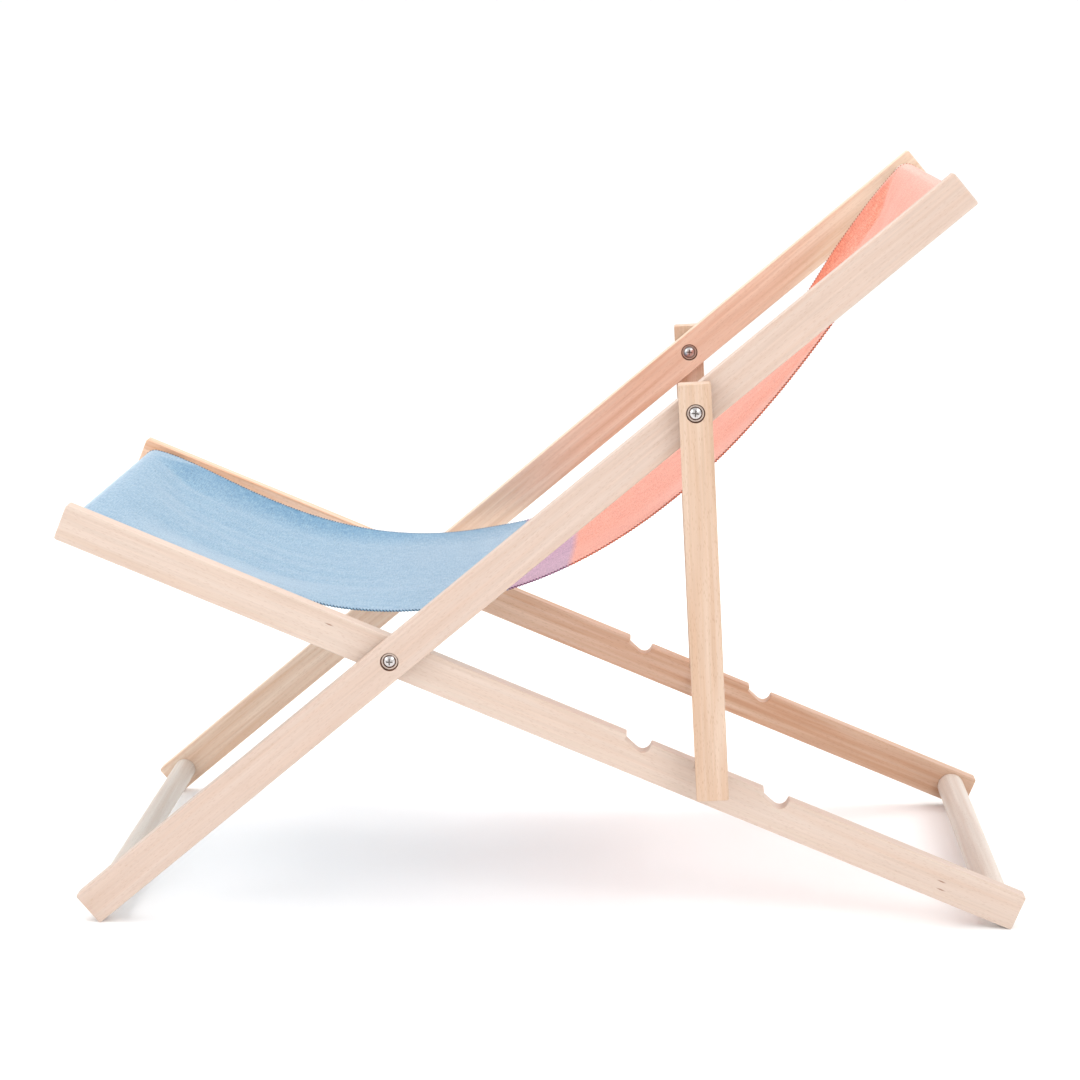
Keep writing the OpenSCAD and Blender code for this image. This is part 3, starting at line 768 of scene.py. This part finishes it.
# a thread laid through points, each (spot, place in the dye, share of painted shade), then made a mesh
def threadPiece(name, points, radius):
    curve = bpy.data.curves.new(name + "Line", "CURVE")
    curve.dimensions = "3D"
    curve.bevel_depth = radius
    curve.bevel_resolution = 0
    curve.use_fill_caps = True
    line = curve.splines.new("POLY")
    line.points.add(len(points) - 1)
    for p, (spot, _, _) in zip(line.points, points):
        p.co = (*spot, 1.0)
    maker = bpy.data.objects.new(name + "Maker", curve)
    bpy.context.scene.collection.objects.link(maker)
    bpy.context.view_layer.update()
    mesh = bpy.data.meshes.new_from_object(maker.evaluated_get(bpy.context.evaluated_depsgraph_get()))
    bpy.data.objects.remove(maker)
    mesh.name = name
    mesh.shade_smooth()
    piece = bpy.data.objects.new(name, mesh)
    bpy.context.scene.collection.objects.link(piece)
    ringSize = len(mesh.vertices) // len(points)
    for place, label in ((1, "alongCloth"), (2, "underside")):
        values = [points[min(i // ringSize, len(points) - 1)][place] for i in range(len(mesh.vertices))]
        mesh.attributes.new(label, "FLOAT", "POINT").data.foreach_set("value", values)
    mesh.materials.clear()
    mesh.materials.append(threadStuff)
    return piece


def onCloth(y, run, lift):  # a point at a distance along the whole cloth, lifted off its middle layer
    low, high, share = bracket(clothRun, run)
    up = clothLine[low][1]
    if clothLine[low][3] == clothLine[high][3]:
        up = up.lerp(clothLine[high][1], share).normalized()
    return clothSpot(y, low).lerp(clothSpot(y, high), share) + lift * mm * Vector((up.x, 0, up.y))


sewnFrom, sewnTo = clothRun[overlock["hemSkip"]], clothRun[-overlock["hemSkip"] - 1]
for sign, label in ((-1, "left"), (1, "right")):
    bite, lift, over = (overlock[k] for k in ("bite", "lift", "over"))
    wrap = overlock["wrapShade"][label]
    stitch = ((bite, lift, 0.0), (over, lift, 0.2 * wrap), (-over, 0.0, wrap), (over, -lift, 1.0),
              (bite, -lift, 1.0))
    points = []
    for i in range(int((sewnTo - sewnFrom) / overlock["pitch"])):
        for step, (inward, height, under) in enumerate(stitch):
            run = sewnFrom + (i + step / len(stitch)) * overlock["pitch"]
            y = sign * (sling["width"] / 2 - inward)
            points.append((onCloth(y, run, height), dyedAt(run), under))
    piece = threadPiece("overlock." + label, points, overlock["thread"] * mm)
    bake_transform(piece)
print("selvedges sewn")

# seamless pale studio floor that sweeps up into a white wall all round, in metres
studio = {"radius": 7.0, "high": 5.0, "sweep": 2.4, "below": -0.0005, "sides": 96, "sweepSteps": 14,
          "pulp": 1 / 3}
bm = bmesh.new()
bmesh.ops.create_circle(bm, cap_ends=True, segments=studio["sides"], radius=studio["radius"],
                        matrix=Matrix.Translation((0, 0, studio["below"])))
rim = [e for e in bm.edges if len(e.link_faces) == 1]
raised = bmesh.ops.extrude_edge_only(bm, edges=rim)["geom"]
bmesh.ops.translate(bm, verts=[g for g in raised if isinstance(g, bmesh.types.BMVert)],
                    vec=(0, 0, studio["high"]))
bmesh.ops.bevel(bm, geom=rim, offset=studio["sweep"], offset_type="OFFSET",
                segments=studio["sweepSteps"], profile=0.5, affect="EDGES", material=-1)
bmesh.ops.recalc_face_normals(bm, faces=bm.faces[:])
if max(bm.faces, key=lambda f: f.calc_area()).normal.z < 0:
    bmesh.ops.reverse_faces(bm, faces=bm.faces[:])
# matt backdrop paper: white pulp with a barely seen cloud, no shine
paper, tree, shader = newMaterial("matt backdrop paper")
coords = addNode(tree, "ShaderNodeTexCoord")
pulp = addNode(tree, "ShaderNodeTexNoise", {"Scale": 1 / studio["pulp"], "Detail": 2.0},
               Vector=coords.outputs["Object"])
paperTone = setRamp(addNode(tree, "ShaderNodeValToRGB", Fac=pulp.outputs["Fac"]),
                    [(0.3, "#FBFBFB"), (0.7, "#FDFDFD")])
tree.links.new(paperTone.outputs["Color"], shader.inputs["Base Color"])
shader.inputs["Roughness"].default_value = 0.95
shader.inputs["Specular IOR Level"].default_value = 0.1
mesh = bpy.data.meshes.new("studioFloor")
bm.to_mesh(mesh)
bm.free()
mesh.shade_smooth()
mesh.materials.append(paper)
floorPiece = bpy.data.objects.new("studioFloor", mesh)
bpy.context.scene.collection.objects.link(floorPiece)

# soft studio light: a key from the right of the camera, a fill from the left, one from above and one behind,
# as (name, place, watts, size), and a world that is brighter above
lamps = [("keyLight", (2.6, -3.4, 3.2), 69.0, 2.6), ("fillLight", (-3.2, -2.6, 2.2), 38.0, 3.0),
         ("topLight", (-0.7, 0.3, 3.6), 70.0, 3.0), ("backLight", (3.0, 2.5, 2.5), 34.0, 2.0)]
lampsAim = Vector((0, 0, 0.4))
for name, place, power, size in lamps:
    lamp = bpy.data.lights.new(name, "AREA")
    lamp.energy = power
    lamp.shape = "DISK"
    lamp.size = size
    holder = bpy.data.objects.new(name, lamp)
    holder.location = place
    holder.rotation_euler = (lampsAim - Vector(place)).to_track_quat("-Z", "Y").to_euler()
    bpy.context.scene.collection.objects.link(holder)
world = bpy.data.worlds.new("studioWorld")
bpy.context.scene.world = world
world.use_nodes = True
tree = world.node_tree
sky = addNode(tree, "ShaderNodeSeparateXYZ", Vector=addNode(tree, "ShaderNodeTexCoord").outputs["Generated"])
glow = addNode(tree, "ShaderNodeMapRange",
               {"From Min": -0.1, "From Max": 0.8, "To Min": 0.505, "To Max": 0.945},
               Value=sky.outputs["Z"])
tree.nodes["Background"].inputs["Color"].default_value = (1.0, 1.0, 1.0, 1.0)
tree.links.new(glow.outputs["Result"], tree.nodes["Background"].inputs["Strength"])
bpy.context.scene.view_settings.view_transform = "Standard"

# camera fitted to the photograph's rail edges; pixels is its focal length in pixels of the 1080 frame
lens = {"right": (0.99902045, 0.04425072, -0.00013041), "up": (-0.00860167, 0.19708367, 0.98034894),
        "forward": (-0.04340685, 0.97938751, -0.19727125), "eye": (0.12317, -3.0921, 1.02939),
        "pixels": 2558.1, "frame": 1080, "sensor": 36.0, "far": 60.0}
cameraData = bpy.data.cameras.new("photoCamera")
cameraData.sensor_width = lens["sensor"]
cameraData.lens = lens["pixels"] / lens["frame"] * lens["sensor"]
cameraData.clip_end = lens["far"]
cameraPiece = bpy.data.objects.new("photoCamera", cameraData)
right, up, forward = (Vector(lens[k]) for k in ("right", "up", "forward"))
turn = Matrix((right, up, -forward)).transposed().to_4x4()
cameraPiece.matrix_world = Matrix.Translation(Vector(lens["eye"])) @ turn
bpy.context.scene.collection.objects.link(cameraPiece)
bpy.context.scene.camera = cameraPiece
print("light and camera set")
